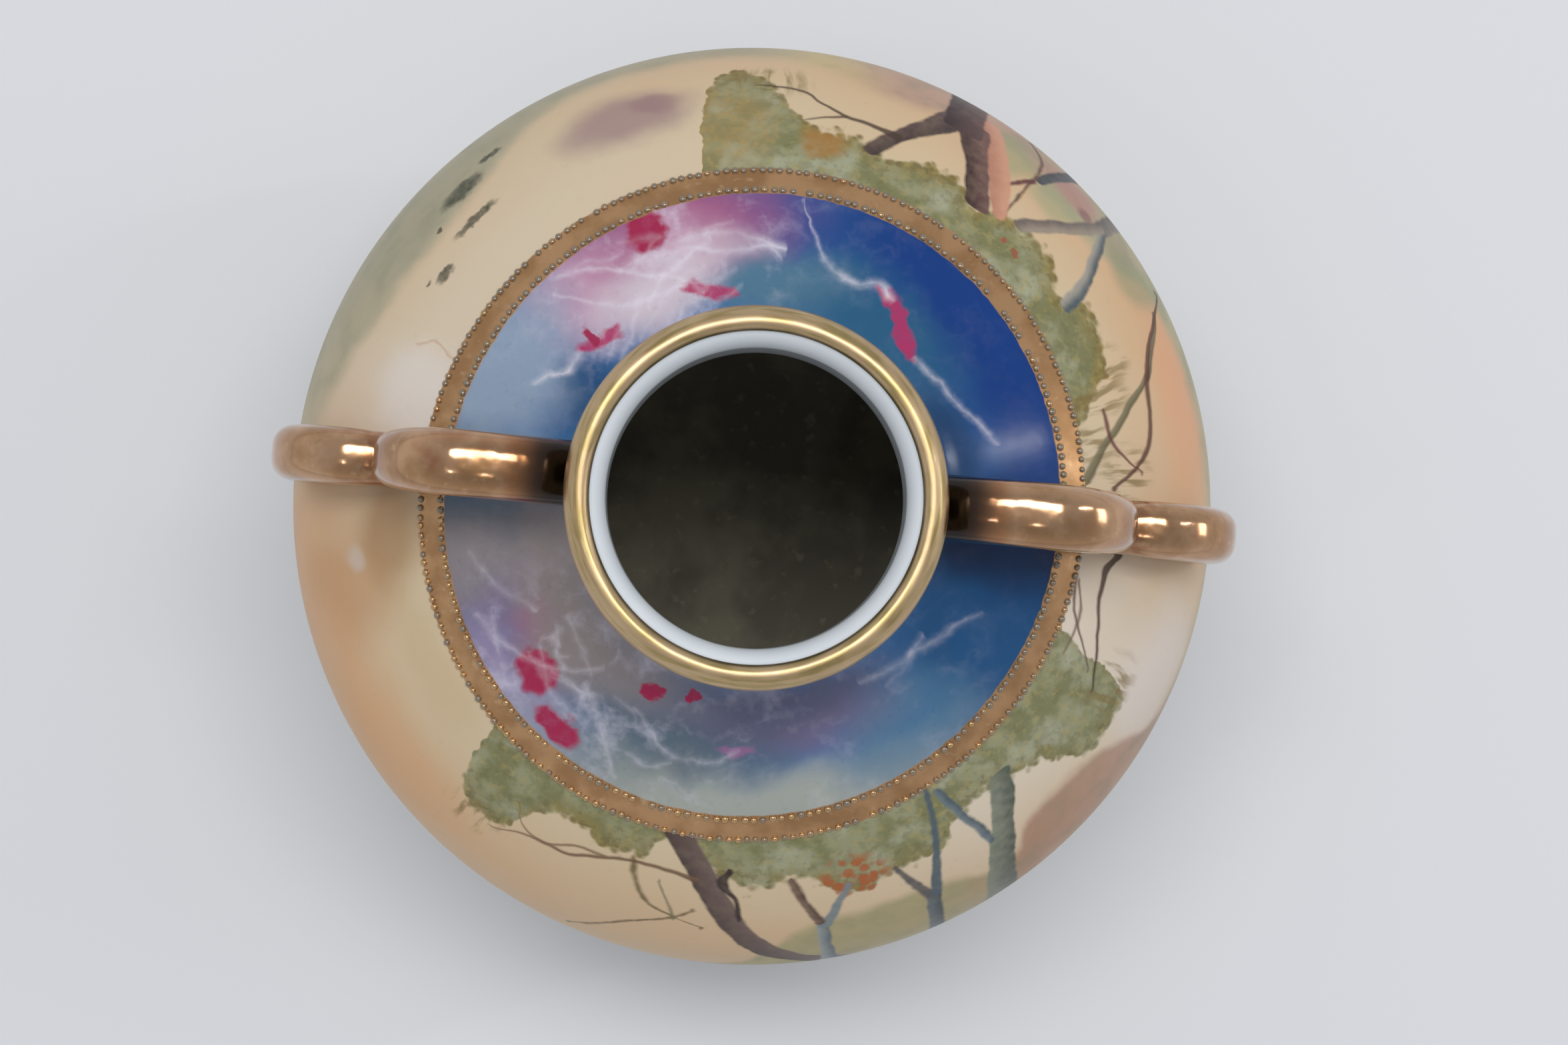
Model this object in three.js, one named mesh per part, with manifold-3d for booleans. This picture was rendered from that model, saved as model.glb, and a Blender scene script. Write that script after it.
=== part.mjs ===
// A hand-painted porcelain cabinet vase with two gilded ear handles, fired as one solid.
// Millimetres, +Z up. The origin is on the vase's axis at its underside, and the handles lie along X.
import * as THREE from "three";
import { mergeVertices } from "three/addons/utils/BufferGeometryUtils.js";
import Module from "manifold-3d";

// Body: two half-ellipses that meet at the belly's widest ring.
const bellyRadius = 65;
const bellyHeight = 60; // underside to the widest ring
const shoulderRise = 42; // widest ring to the top of the shoulder's ellipse
const bodyWall = 3.6;
const floorThickness = 4.5;
const floorCorner = 9; // how far the cavity's floor rounds up into its side

// Foot: a turned ring with a cove above it and a recess below.
const waistRadius = 33.5; // where the belly ends, above the foot
const waistHeight = 7;
const footOverhang = 2.5; // how far the ring stands past the waist
const footRimHeight = 3.4; // height of the ring's upright outer face
const footEdge = 0.9; // rounding under that face
const bearingWidth = 3.2; // the flat ring that the vase stands on
const recessDepth = 2.6;
const recessSlope = 1.8;

// Neck and lip.
const boreRadius = 19.2;
const neckWall = 3.2;
const neckHeight = 21.6; // shoulder to the top of the lip
const neckSweep = 5; // how far the neck's curve spreads over the shoulder
const boreSweep = 4; // the same inside
const mouthFlare = 1.5; // how much wider the mouth is than the bore
const mouthRoll = 1.3; // top of the lip down to the mouth's edge
const flareDepth = 11; // how far down the mouth's flare fades out
const lipOverhang = 1.6; // how far the lip stands past the neck
const lipCrest = 1.2; // mouth's edge out to the top of the lip
const lipRoll = 2.8; // top of the lip down to its widest ring
const lipDepth = 6.4; // top of the lip down to where its roll leaves the neck

// Handles: an open loop from neck to shoulder, and below it a solid lobe that lies on the belly.
const loopWidth = 8.5;
const loopThickness = 6.6;
const loopRootDrop = 12.2; // top of the lip to the middle of the loop's root
const loopTopDrop = 3.4; // top of the lip to the top of the loop
const loopSpan = 27.3; // neck to the loop's outer face
const loopLean = 1.1; // how far the loop's leg leans towards the neck as it lands
const lobeWidth = 7.6;
const lobeOverhang = 0.3; // how far the lobe stands past the belly's widest ring
const lobeRise = 10; // shoulder at the notch to the top of the lobe
const lobeWaist = 23; // belly's widest ring up to the lobe's widest point
const lobeFoot = 12; // belly's widest ring up to the lobe's lower end
const handleEdge = 2.2; // rounding along every edge of loop and lobe
const handleShift = 1.1; // how far both handles sit to one side of the axis, as luted on by hand

// How finely round stretches are drawn.
const turnSegments = 64;
const edgeSegments = 3;

const neckRadius = boreRadius + neckWall;
const lipRadius = neckRadius + lipOverhang;
const mouthRadius = boreRadius + mouthFlare;
const crestRadius = mouthRadius + lipCrest;
const footRadius = waistRadius + footOverhang;
const waistDrop = (bellyHeight - waistHeight) / Math.sqrt(1 - (waistRadius / bellyRadius) ** 2);
const topZ = shoulderHeight(neckRadius) + neckHeight;

// Height of the shoulder's surface at a radius, or of the same ellipse set in by some depth.
function shoulderHeight(radius, inset = 0) {
  const share = radius / (bellyRadius - inset);
  return bellyHeight + (shoulderRise - inset) * Math.sqrt(1 - share ** 2);
}

// Radius of the shoulder's surface at a height.
function shoulderRadius(z, inset = 0) {
  const share = (z - bellyHeight) / (shoulderRise - inset);
  return (bellyRadius - inset) * Math.sqrt(1 - share ** 2);
}

// The belly's angle, from its widest ring, where it reaches a radius above or a height below that ring.
const shoulderAngle = (radius, inset = 0) => Math.acos(radius / (bellyRadius - inset));
const lowerAngle = (z, inset = 0) => -Math.asin((bellyHeight - z) / (waistDrop - inset));

// Curves in the plane of radius and height.
const point = (radius, z) => new THREE.Vector2(radius, z);
const line = (from, to) => new THREE.LineCurve(from, to);
const bend = (from, corner, to) => new THREE.QuadraticBezierCurve(from, corner, to);
const sweep = (from, leave, arrive, to) => new THREE.CubicBezierCurve(from, leave, arrive, to);
const arc = (x, z, rx, rz, from, to) => new THREE.EllipseCurve(x, z, rx, rz, from, to, to < from);

// The belly between two of its angles, at its surface or set in by some depth.
function belly(inset, from, to) {
  const rise = Math.max(from, to) > 0 ? shoulderRise : waistDrop;
  return arc(0, bellyHeight, bellyRadius - inset, rise - inset, from, to);
}

// Joins runs of [curve, steps] into one list of points without doubled ends.
const trace = (runs) =>
  runs.flatMap(([curve, steps], i) => curve.getPoints(steps).slice(i ? 1 : 0));

// Underside and foot, from the axis out to the waist.
function footRuns() {
  const standOut = footRadius - footEdge;
  const standIn = standOut - bearingWidth;
  const recess = point(standIn - recessSlope, recessDepth);
  const rimTop = point(footRadius, footRimHeight);
  const upperBelly = belly(0, lowerAngle(waistHeight), 0);
  const waist = upperBelly.getPoint(0);
  const cove = (waistHeight - footRimHeight) / 2;
  const leave = point(waistRadius, footRimHeight + cove / 2);
  const arrive = waist.clone().addScaledVector(upperBelly.getTangent(0), -cove);
  return [
    [line(point(0, recessDepth), recess), 1],
    [line(recess, point(standIn, 0)), 1],
    [line(point(standIn, 0), point(standOut, 0)), 1],
    [arc(standOut, footEdge, footEdge, footEdge, -Math.PI / 2, 0), 2],
    [line(point(footRadius, footEdge), rimTop), 1],
    [sweep(rimTop, leave, arrive, waist), 3],
  ];
}

// Outer surface, from the waist up the belly and neck and over the lip to its top.
function outerRuns() {
  const sweepRadius = neckRadius + neckSweep;
  const shoulder = point(sweepRadius, shoulderHeight(sweepRadius));
  const neckFoot = point(neckRadius, shoulderHeight(neckRadius));
  const neckBottom = point(neckRadius, neckFoot.y + neckSweep);
  const neckTop = point(neckRadius, topZ - lipDepth);
  const lipSide = point(lipRadius, topZ - lipRoll);
  const swell = (lipDepth - lipRoll) / 2;
  const leave = point(neckRadius, neckTop.y + swell);
  const arrive = point(lipRadius, lipSide.y - swell);
  return [
    [belly(0, lowerAngle(waistHeight), 0), 8],
    [belly(0, 0, shoulderAngle(sweepRadius)), 10],
    [bend(shoulder, neckFoot, neckBottom), 4],
    [line(neckBottom, neckTop), 1],
    [sweep(neckTop, leave, arrive, lipSide), 3],
    [arc(crestRadius, topZ - lipRoll, lipRadius - crestRadius, lipRoll, 0, Math.PI / 2), 4],
  ];
}

// Inner surface, from the top of the lip down the mouth and bore and round the cavity to the axis.
function innerRuns() {
  const mouth = point(mouthRadius, topZ - mouthRoll);
  const boreTop = point(boreRadius, topZ - flareDepth);
  const throat = point(boreRadius, shoulderHeight(boreRadius, bodyWall));
  const boreBottom = point(boreRadius, throat.y + boreSweep);
  const roofRadius = boreRadius + boreSweep;
  const roof = point(roofRadius, shoulderHeight(roofRadius, bodyWall));
  const floorZ = recessDepth + floorThickness;
  const sideAngle = lowerAngle(floorZ + floorCorner, bodyWall);
  const side = belly(bodyWall, 0, sideAngle).getPoint(1);
  const floorCornerPoint = point(side.x - floorCorner, floorZ);
  const floorEdge = point(floorCornerPoint.x - floorCorner, floorZ);
  return [
    [arc(crestRadius, mouth.y, lipCrest, mouthRoll, Math.PI / 2, Math.PI), 2],
    [bend(mouth, point(boreRadius, mouth.y - mouthRoll), boreTop), 3],
    [line(boreTop, boreBottom), 1],
    [bend(boreBottom, throat, roof), 2],
    [belly(bodyWall, shoulderAngle(roofRadius, bodyWall), 0), 6],
    [belly(bodyWall, 0, sideAngle), 5],
    [bend(side, floorCornerPoint, floorEdge), 3],
    [line(floorEdge, point(0, floorZ)), 1],
  ];
}

// What lies inside the middle of the wall, to trim away whatever of the handles reaches through it.
function coreRuns() {
  const radius = boreRadius + neckWall / 2;
  const inset = bodyWall / 2;
  const lower = belly(inset, lowerAngle(waistHeight, inset), 0);
  const waist = lower.getPoint(0);
  return [
    [line(point(0, waist.y), waist), 1],
    [lower, 8],
    [belly(inset, 0, shoulderAngle(radius, inset)), 10],
    [line(point(radius, shoulderHeight(radius, inset)), point(radius, topZ)), 1],
    [line(point(radius, topZ), point(0, topZ)), 1],
  ];
}

// Centreline of the loop: out of the neck, over, and down square onto the shoulder.
function loopLine() {
  const root = point(boreRadius, topZ - loopRootDrop);
  const landRadius = neckRadius + loopSpan - loopThickness / 2 - loopLean;
  const land = point(landRadius, shoulderHeight(landRadius));
  const crown = topZ - loopTopDrop - loopThickness / 2;
  const pull = crown - land.y;
  const slope = point(
    land.x / bellyRadius ** 2,
    (land.y - bellyHeight) / shoulderRise ** 2,
  ).normalize();
  const leave = point(root.x + 0.4 * loopSpan, crown + 0.3 * pull);
  const arrive = land.clone().addScaledVector(slope, pull);
  return sweep(root, leave, arrive, land.clone().addScaledVector(slope, -bodyWall));
}

// The loop's outline: its centreline set off to both sides by half its thickness.
function loopOutline(steps) {
  const centre = loopLine();
  const side = (half) =>
    Array.from({ length: steps + 1 }, (_, i) => {
      const along = centre.getTangent(i / steps);
      return centre.getPoint(i / steps).add(point(-along.y * half, along.x * half));
    });
  return [...side(loopThickness / 2), ...side(-loopThickness / 2).reverse()];
}

// The lobe's outline: up from the notch, over, down its outer face and back along inside the wall.
function lobeOutline() {
  const notchRadius = neckRadius + loopSpan;
  const reach = bellyRadius + lobeOverhang;
  const crown = shoulderHeight(notchRadius) + lobeRise;
  const startRadius = notchRadius - loopThickness;
  const start = point(startRadius, shoulderHeight(startRadius, bodyWall));
  const side = point(reach, bellyHeight + lobeWaist);
  const rise = crown + (2 * crown - start.y - side.y) / 6; // lifts the arch's middle to the crown
  const endZ = bellyHeight + lobeFoot;
  const end = point(shoulderRadius(endZ, bodyWall), endZ);
  const leave = point(reach, (side.y + endZ) / 2);
  const arrive = point(shoulderRadius(endZ) + handleEdge, endZ);
  const wall = belly(bodyWall, shoulderAngle(end.x, bodyWall), shoulderAngle(startRadius, bodyWall));
  return trace([
    [sweep(start, point(startRadius, rise), point(reach, rise), side), 14],
    [sweep(side, leave, arrive, end), 6],
    [wall, 5],
  ]).slice(0, -1);
}

const wasm = await Module();
wasm.setup();

// A closed geometry as a solid that can be joined and cut.
function solidOf(geometry) {
  geometry.deleteAttribute("normal");
  geometry.deleteAttribute("uv");
  const merged = mergeVertices(geometry, 1e-4);
  return new wasm.Manifold(
    new wasm.Mesh({
      numProp: 3,
      vertProperties: merged.attributes.position.array,
      triVerts: merged.index.array,
    }),
  );
}

// A profile of radii and heights turned about Z.
const turned = (points) =>
  solidOf(new THREE.LatheGeometry(points, turnSegments).rotateX(Math.PI / 2));

// An outline made a plate of some width with rounded edges, upright at an angle round the axis.
function plate(outline, width, angle) {
  const depth = width - 2 * handleEdge;
  const geometry = new THREE.ExtrudeGeometry(new THREE.Shape(outline), {
    depth,
    bevelThickness: handleEdge,
    bevelSize: handleEdge,
    bevelOffset: -handleEdge,
    bevelSegments: edgeSegments,
  });
  geometry.translate(0, 0, -depth / 2).rotateX(Math.PI / 2).rotateZ(angle);
  return solidOf(geometry.translate(0, handleShift, 0));
}

const handle = (angle) =>
  plate(loopOutline(16), loopWidth, angle).add(plate(lobeOutline(), lobeWidth, angle));

// Body and both handles, joined as they are by firing.
function vaseSolid() {
  const body = turned(trace([...footRuns(), ...outerRuns(), ...innerRuns()]));
  const core = turned(trace(coreRuns()));
  return body.add(handle(0).add(handle(Math.PI)).subtract(core));
}

function meshOf(name, solid, material) {
  const { numProp, numVert, vertProperties, triVerts } = solid.getMesh();
  const positions = new Float32Array(numVert * 3);
  for (let i = 0; i < numVert; i++)
    positions.set(vertProperties.subarray(i * numProp, i * numProp + 3), i * 3);
  const geometry = new THREE.BufferGeometry()
    .setAttribute("position", new THREE.BufferAttribute(positions, 3))
    .setIndex(new THREE.BufferAttribute(triVerts, 1));
  geometry.computeVertexNormals();
  const mesh = new THREE.Mesh(geometry, material);
  mesh.name = name;
  return mesh;
}

const porcelain = new THREE.MeshStandardMaterial({
  color: 0xd2ab7c,
  roughness: 0.4,
  metalness: 0,
});

const vase = new THREE.Group();
vase.add(meshOf("vase", vaseSolid(), porcelain));

export default vase;
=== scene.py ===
# %% [markdown]
# # A painted porcelain vase with two gilded handles
# The vase is one fired piece: a round belly, a short neck with a rolled gilt lip, and an ear
# handle on each side. A landscape is painted round the belly, a clouded marbling in blue and
# rose covers the shoulder, and a gilt band between them carries two rows of raised enamel beads.
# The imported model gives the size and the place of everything, so each piece below is made in
# millimetres round the same axis, and is turned into metres when its mesh is finished.

# %% Load the frame
import math
import random
from bisect import bisect

import bmesh
import bpy
import numpy as np
from mathutils import Matrix, Vector


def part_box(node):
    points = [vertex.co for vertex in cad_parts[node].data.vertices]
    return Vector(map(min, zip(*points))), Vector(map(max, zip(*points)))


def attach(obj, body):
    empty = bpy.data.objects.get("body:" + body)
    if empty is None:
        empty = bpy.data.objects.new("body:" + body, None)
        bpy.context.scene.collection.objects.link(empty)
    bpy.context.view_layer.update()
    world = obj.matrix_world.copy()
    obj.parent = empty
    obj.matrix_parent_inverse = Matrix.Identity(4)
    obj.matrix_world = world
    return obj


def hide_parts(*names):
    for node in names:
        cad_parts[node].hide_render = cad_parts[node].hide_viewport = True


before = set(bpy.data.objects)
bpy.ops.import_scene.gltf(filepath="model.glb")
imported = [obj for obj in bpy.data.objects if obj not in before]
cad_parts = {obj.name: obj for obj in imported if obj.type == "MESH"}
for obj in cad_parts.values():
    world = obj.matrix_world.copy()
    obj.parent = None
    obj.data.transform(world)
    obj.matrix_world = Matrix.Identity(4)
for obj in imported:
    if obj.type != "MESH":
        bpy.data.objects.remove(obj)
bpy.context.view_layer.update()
MM = 0.001
WELD = 1e-4  # millimetres between points that count as one
low, high = (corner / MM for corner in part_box("vase"))
print("frame: vase measures", [round(side, 2) for side in high - low], "mm")

# %% [markdown]
# ## Sizes
# The belly's radius, the height and the reach of the handles come from the frame's box. The
# rest are the potter's own sizes. The belly is two half ellipses that meet at its widest ring,
# which is how such a form is drawn for turning, so a few lengths are enough for all of it.

# %% Sizes of body, foot, neck and lip
belly_radius = high.y
belly_height = 60
shoulder_rise = 42
wall = 3.6
floor_thickness = 4.5
floor_corner = 9
waist_radius = 33.5
waist_height = 7
foot_radius = waist_radius + 2.5
foot_rim = 3.4
foot_edge = 0.9
bearing_width = 3.2
recess_depth = 2.6
recess_slope = 1.8
bore_radius = 19.2
neck_radius = bore_radius + 3.2
neck_sweep = 5
bore_sweep = 4
mouth_radius = bore_radius + 1.5
mouth_roll = 1.3
flare_depth = 11
mouth_waist = 0.35
mouth_waist_depth = 5
lip_radius = neck_radius + 1.6
crest_radius = mouth_radius + 1.2
lip_roll = 2.8
lip_depth = 6.4
top = high.z
waist_drop = (belly_height - waist_height) / math.sqrt(1 - (waist_radius / belly_radius) ** 2)
print("waist drop", round(waist_drop, 2), "mm, lip radius", round(lip_radius, 2), "mm")


# %% Curves in the plane of radius and height
def line(start, end, steps=1):
    return np.linspace(start, end, steps + 1)


def bezier(*corners, steps):
    share = np.linspace(0, 1, steps + 1)[:, None]
    points = [np.array(corner, float) for corner in corners]
    while len(points) > 1:
        points = [a + (b - a) * share for a, b in zip(points, points[1:])]
    return points[0]


def arc(centre, radii, start, end, steps):
    turn = np.linspace(start, end, steps + 1)
    return np.array(centre) + np.column_stack([radii[0] * np.cos(turn), radii[1] * np.sin(turn)])


def shoulder_height(radius, inset=0):
    share = radius / (belly_radius - inset)
    return belly_height + (shoulder_rise - inset) * math.sqrt(1 - share**2)


def shoulder_angle(radius, inset=0):
    return math.acos(radius / (belly_radius - inset))


def lower_angle(z, inset=0):
    return -math.asin((belly_height - z) / (waist_drop - inset))


def belly(inset, start, end, steps):
    rise = shoulder_rise if max(start, end) > 0 else waist_drop
    return arc((0, belly_height), (belly_radius - inset, rise - inset), start, end, steps)


print("shoulder at the neck:", round(shoulder_height(neck_radius), 2), "mm")

# %% [markdown]
# ## The body
# A potter throws or casts this form as one turned shape, so its section is drawn once, from the
# middle of the underside out over the foot, up the belly, over the lip and down inside to the
# middle of the cavity's floor. Subdividing a cylinder could make it too, but a drawn section
# keeps the wall's true thickness and the exact curves of the frame.

# %% The section, zone by zone
band_radius = 42.75
stand_out = foot_radius - foot_edge
stand_in = stand_out - bearing_width
waist = belly(0, lower_angle(waist_height), 0, 1)[0]
cove = (waist_height - foot_rim) / 2
waist_run = belly(0, lower_angle(waist_height), lower_angle(waist_height) + 0.02, 1)
waist_way = (waist_run[1] - waist_run[0]) / np.linalg.norm(waist_run[1] - waist_run[0])
sweep_radius = neck_radius + neck_sweep
neck_foot = shoulder_height(neck_radius)
roof_radius = bore_radius + bore_sweep
throat = shoulder_height(bore_radius, wall)
cavity_floor = recess_depth + floor_thickness
side_angle = lower_angle(cavity_floor + floor_corner, wall)
side = belly(wall, 0, side_angle, 1)[1]
swell = (lip_depth - lip_roll) / 2
quarter = math.pi / 2

sections = {
    "bisque": [
        line((0, recess_depth), (stand_in - recess_slope, recess_depth), 6),
        line((stand_in - recess_slope, recess_depth), (stand_in, 0), 3),
        line((stand_in, 0), (stand_out, 0), 2),
    ],
    "landscape": [
        arc((stand_out, foot_edge), (foot_edge, foot_edge), -quarter, 0, 4),
        line((foot_radius, foot_edge), (foot_radius, foot_rim), 2),
        bezier((foot_radius, foot_rim), (waist_radius, foot_rim + cove / 2),
               waist - cove * waist_way, waist, steps=8),
        belly(0, lower_angle(waist_height), 0, 44),
        belly(0, 0, shoulder_angle(band_radius), 30),
    ],
    "marbling": [
        belly(0, shoulder_angle(band_radius), shoulder_angle(sweep_radius), 14),
        bezier((sweep_radius, shoulder_height(sweep_radius)), (neck_radius, neck_foot),
               (neck_radius, neck_foot + neck_sweep), steps=8),
        line((neck_radius, neck_foot + neck_sweep), (neck_radius, top - lip_depth), 5),
    ],
    "gilt_lip": [
        bezier((neck_radius, top - lip_depth), (neck_radius, top - lip_depth + swell),
               (lip_radius, top - lip_roll - swell), (lip_radius, top - lip_roll), steps=8),
        arc((crest_radius, top - lip_roll), (lip_radius - crest_radius, lip_roll), 0, quarter, 10),
        arc((crest_radius, top - mouth_roll), (crest_radius - mouth_radius, mouth_roll),
            quarter, 2 * quarter, 6),
    ],
    "white_glaze": [
        bezier((mouth_radius, top - mouth_roll), (bore_radius, top - 2 * mouth_roll),
               (bore_radius - mouth_waist, top - mouth_waist_depth), steps=8),
        bezier((bore_radius - mouth_waist, top - mouth_waist_depth),
               (bore_radius - mouth_waist, top - (mouth_waist_depth + flare_depth) / 2),
               (bore_radius, top - flare_depth), steps=5),
        line((bore_radius, top - flare_depth), (bore_radius, throat + bore_sweep), 4),
        bezier((bore_radius, throat + bore_sweep), (bore_radius, throat),
               (roof_radius, shoulder_height(roof_radius, wall)), steps=6),
    ],
    # The cavity's inside, coloured much darker than the glaze, partly as painted shade.
    "cavity_tone": [
        belly(wall, shoulder_angle(roof_radius, wall), 0, 26),
        belly(wall, 0, side_angle, 26),
        bezier(side, (side[0] - floor_corner, cavity_floor),
               (side[0] - 2 * floor_corner, cavity_floor), steps=8),
        line((side[0] - 2 * floor_corner, cavity_floor), (0, cavity_floor), 5),
    ],
}
print("section zones:", ", ".join(sections))


# %% Walk along the section
def joined(runs):
    return np.vstack([runs[0][:1]] + [run[1:] for run in runs])


section = joined([run for runs in sections.values() for run in runs])
steps_between = np.linalg.norm(np.diff(section, axis=0), axis=1)
walked = np.concatenate([[0], np.cumsum(steps_between)])
zone_ends = []
for runs in sections.values():
    last = np.linalg.norm(section - runs[-1][-1], axis=1).argmin()
    zone_ends.append(walked[last])
band_walk = zone_ends[1]
print("outside of the vase, foot to lip:", round(zone_ends[3] - zone_ends[0], 1), "mm")


# %% How far the band wanders
painting_start = 5.2  # degrees from the right handle's side to where the painting is measured from


def wander(azimuth):
    """Millimetres that the hand-drawn band strays downwards at an angle round the vase."""
    turn = azimuth - math.radians(painting_start)
    return 0.5 * math.cos(turn - math.radians(235)) + 0.6 * math.cos(2 * turn - math.radians(480))


print("band strays", round(wander(math.radians(235)), 2), "mm at its lowest")


# %% Helpers for finished meshes
def finished(shape, name, smooth_below=40):
    """Merges doubles, turns the faces outwards, marks sharp edges and gives the metre-sized object."""
    bmesh.ops.remove_doubles(shape, verts=shape.verts, dist=WELD)
    bmesh.ops.recalc_face_normals(shape, faces=shape.faces)
    for face in shape.faces:
        face.smooth = True
    for edge in shape.edges:
        edge.smooth = edge.calc_face_angle(0) < math.radians(smooth_below)
    bmesh.ops.scale(shape, vec=(MM, MM, MM), verts=shape.verts)
    mesh = bpy.data.meshes.new(name)
    shape.to_mesh(mesh)
    shape.free()
    piece = bpy.data.objects.new(name, mesh)
    bpy.context.scene.collection.objects.link(piece)
    print(name, "has", len(mesh.polygons), "faces")
    return piece


# %% Turn the body
turn_steps = 256
shape = bmesh.new()
down = shape.verts.layers.float.new("down")
profile = []
for (radius, height), way in zip(section, walked):
    vertex = shape.verts.new((radius, 0, height))
    vertex[down] = band_walk - way
    profile.append(vertex)
edges = [shape.edges.new(pair) for pair in zip(profile, profile[1:])]
bmesh.ops.spin(shape, geom=profile + edges, cent=(0, 0, 0), axis=(0, 0, 1),
               angle=2 * math.pi, steps=turn_steps, use_merge=True)
bmesh.ops.remove_doubles(shape, verts=shape.verts, dist=WELD)
for face in shape.faces:
    middle = band_walk - sum(corner[down] for corner in face.verts) / len(face.verts)
    face.material_index = min(bisect(zone_ends, middle), len(zone_ends) - 1)
for vertex in shape.verts:
    vertex[down] -= wander(math.atan2(vertex.co.y, vertex.co.x))
body = finished(shape, "vase_body")

# %% [markdown]
# ## The handles
# Each handle was pressed in a mould and luted on: an open loop from the neck to the shoulder, and
# under it a solid lobe that lies on the belly. Both are drawn as flat outlines, given their width,
# rounded along the rims, and then melted together with a voxel remesh, as wet clay joins.

# %% Sizes of the handles
loop_width = 8.5
loop_thickness = 6.6
loop_root = top - 12.2
loop_crown = top - 3.4 - loop_thickness / 2
loop_span = 27.3
loop_lean = 1.5
lobe_width = 7.6
lobe_rise = 10
lobe_waist = 23
lobe_foot = 12
handle_edge = 3.0
handle_shift = 1.1
crown_share = 0.8
crown_pull = 0.25
land_pull = 0.9
land_way = np.array((0.3, 0.95))
settle_run = 10
pinch_depth = 0.04
pinch_run = 2.5
sunk = wall / 2
notch_radius = neck_radius + loop_span
land_radius = notch_radius - loop_thickness / 2 - loop_lean
print("loops land", round(land_radius, 1), "mm from the axis")


# %% Outline of the loop
def loop_outline(steps=40):
    land = np.array((land_radius, shoulder_height(land_radius)))
    pull = loop_crown - land[1]
    slope = np.array((land[0] / belly_radius**2, (land[1] - belly_height) / shoulder_rise**2))
    slope /= np.linalg.norm(slope)
    root = np.array((neck_radius - sunk, loop_root))
    leave = (bore_radius + crown_share * loop_span, loop_crown + crown_pull * pull)
    arrive = land + land_pull * pull * land_way
    centre = bezier(root, leave, arrive, land - sunk * slope, steps=steps)
    way = np.gradient(centre, axis=0)
    across = np.column_stack([-way[:, 1], way[:, 0]]) / np.linalg.norm(way, axis=1)[:, None]
    half = loop_thickness / 2
    return np.vstack([centre + half * across, (centre - half * across)[::-1]])


# %% Outline of the lobe
def lobe_outline():
    start_radius = notch_radius - loop_thickness
    start = (start_radius, shoulder_height(start_radius, sunk))
    reach = high.x
    side = (reach, belly_height + lobe_waist)
    crown = shoulder_height(notch_radius) + lobe_rise
    rise = crown + (2 * crown - start[1] - side[1]) / 6
    end_z = belly_height + lobe_foot
    end_share = math.sqrt(1 - ((end_z - belly_height) / (shoulder_rise - sunk)) ** 2)
    end = ((belly_radius - sunk) * end_share, end_z)
    outside = belly_radius * math.sqrt(1 - (lobe_foot / shoulder_rise) ** 2)
    over = bezier(start, (start_radius, rise), (reach, rise), side, steps=36)
    under = bezier(side, (reach, (side[1] + end_z) / 2), (outside + handle_edge, end_z), end, steps=16)
    inside = belly(sunk, shoulder_angle(end[0], sunk), shoulder_angle(start_radius, sunk), 14)
    return joined([over, under, inside])[:-1]


# %% Give an outline its width
def plate(shape, outline):
    before = set(shape.verts)
    corners = [shape.verts.new((x, -loop_width / 2, z)) for x, z in outline]
    face = shape.faces.new(corners)
    grown = bmesh.ops.extrude_face_region(shape, geom=[face])["geom"]
    moved = [item for item in grown if isinstance(item, bmesh.types.BMVert)]
    bmesh.ops.translate(shape, verts=moved, vec=(0, loop_width, 0))
    made = set(shape.verts) - before
    rims = [edge for edge in shape.edges if edge.verts[0] in made
            and abs(edge.verts[0].co.y - edge.verts[1].co.y) < 1e-6]
    bmesh.ops.bevel(shape, geom=rims, offset=handle_edge, offset_type="OFFSET", affect="EDGES",
                    segments=6, profile=0.5, material=-1, clamp_overlap=False)


# %% Melt loop and lobe together
voxel = 0.42
shape = bmesh.new()
plate(shape, loop_outline())
plate(shape, lobe_outline())
blank = finished(shape, "handle_blank")
remesh = blank.modifiers.new("clay", "REMESH")
remesh.mode = "VOXEL"
remesh.voxel_size = voxel * MM
softened = blank.modifiers.new("sponged", "SMOOTH")
softened.factor = 0.5
softened.iterations = 26
melted = bpy.data.meshes.new_from_object(blank.evaluated_get(bpy.context.evaluated_depsgraph_get()))
bpy.data.objects.remove(blank)
print("melted handle has", len(melted.polygons), "faces")


# %% Place both handles
def squeezed(reach):
    """The share of the loop's width that is left at a distance from the axis: less on the lobe."""
    past = min(max((reach - notch_radius + settle_run) / settle_run, 0), 1)
    settled = past * past * (3 - 2 * past)
    pinch = pinch_depth * math.exp(-((reach - notch_radius) / pinch_run) ** 2)
    return 1 - (1 - lobe_width / loop_width) * settled - pinch


def handle(name, turn):
    """One handle, turned to its side, with its root kept in the middle of the neck's wall."""
    shape = bmesh.new()
    shape.from_mesh(melted)
    bmesh.ops.scale(shape, vec=(1 / MM, 1 / MM, 1 / MM), verts=shape.verts)
    for vertex in shape.verts:
        vertex.co.y *= squeezed(vertex.co.x)
    bmesh.ops.rotate(shape, cent=(0, 0, 0), matrix=Matrix.Rotation(turn, 3, "Z"), verts=shape.verts)
    bmesh.ops.translate(shape, vec=(0, handle_shift, 0), verts=shape.verts)
    for vertex in shape.verts:
        pushed = (neck_radius - sunk) / math.hypot(vertex.co.x, vertex.co.y)
        vertex.co.xy *= max(1, pushed)
    return finished(shape, name, smooth_below=180)


handles = [handle("handle_right", 0), handle("handle_left", math.pi)]

# %% [markdown]
# ## The enamel beads
# Drops of stiff enamel were set by hand along both edges of the gilt band. Each is a flat dome,
# so a low sphere with few faces, sunk a little into the glaze, is enough. A seeded generator
# strays each drop a little, rubs some of them down and leaves a few out.

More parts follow.
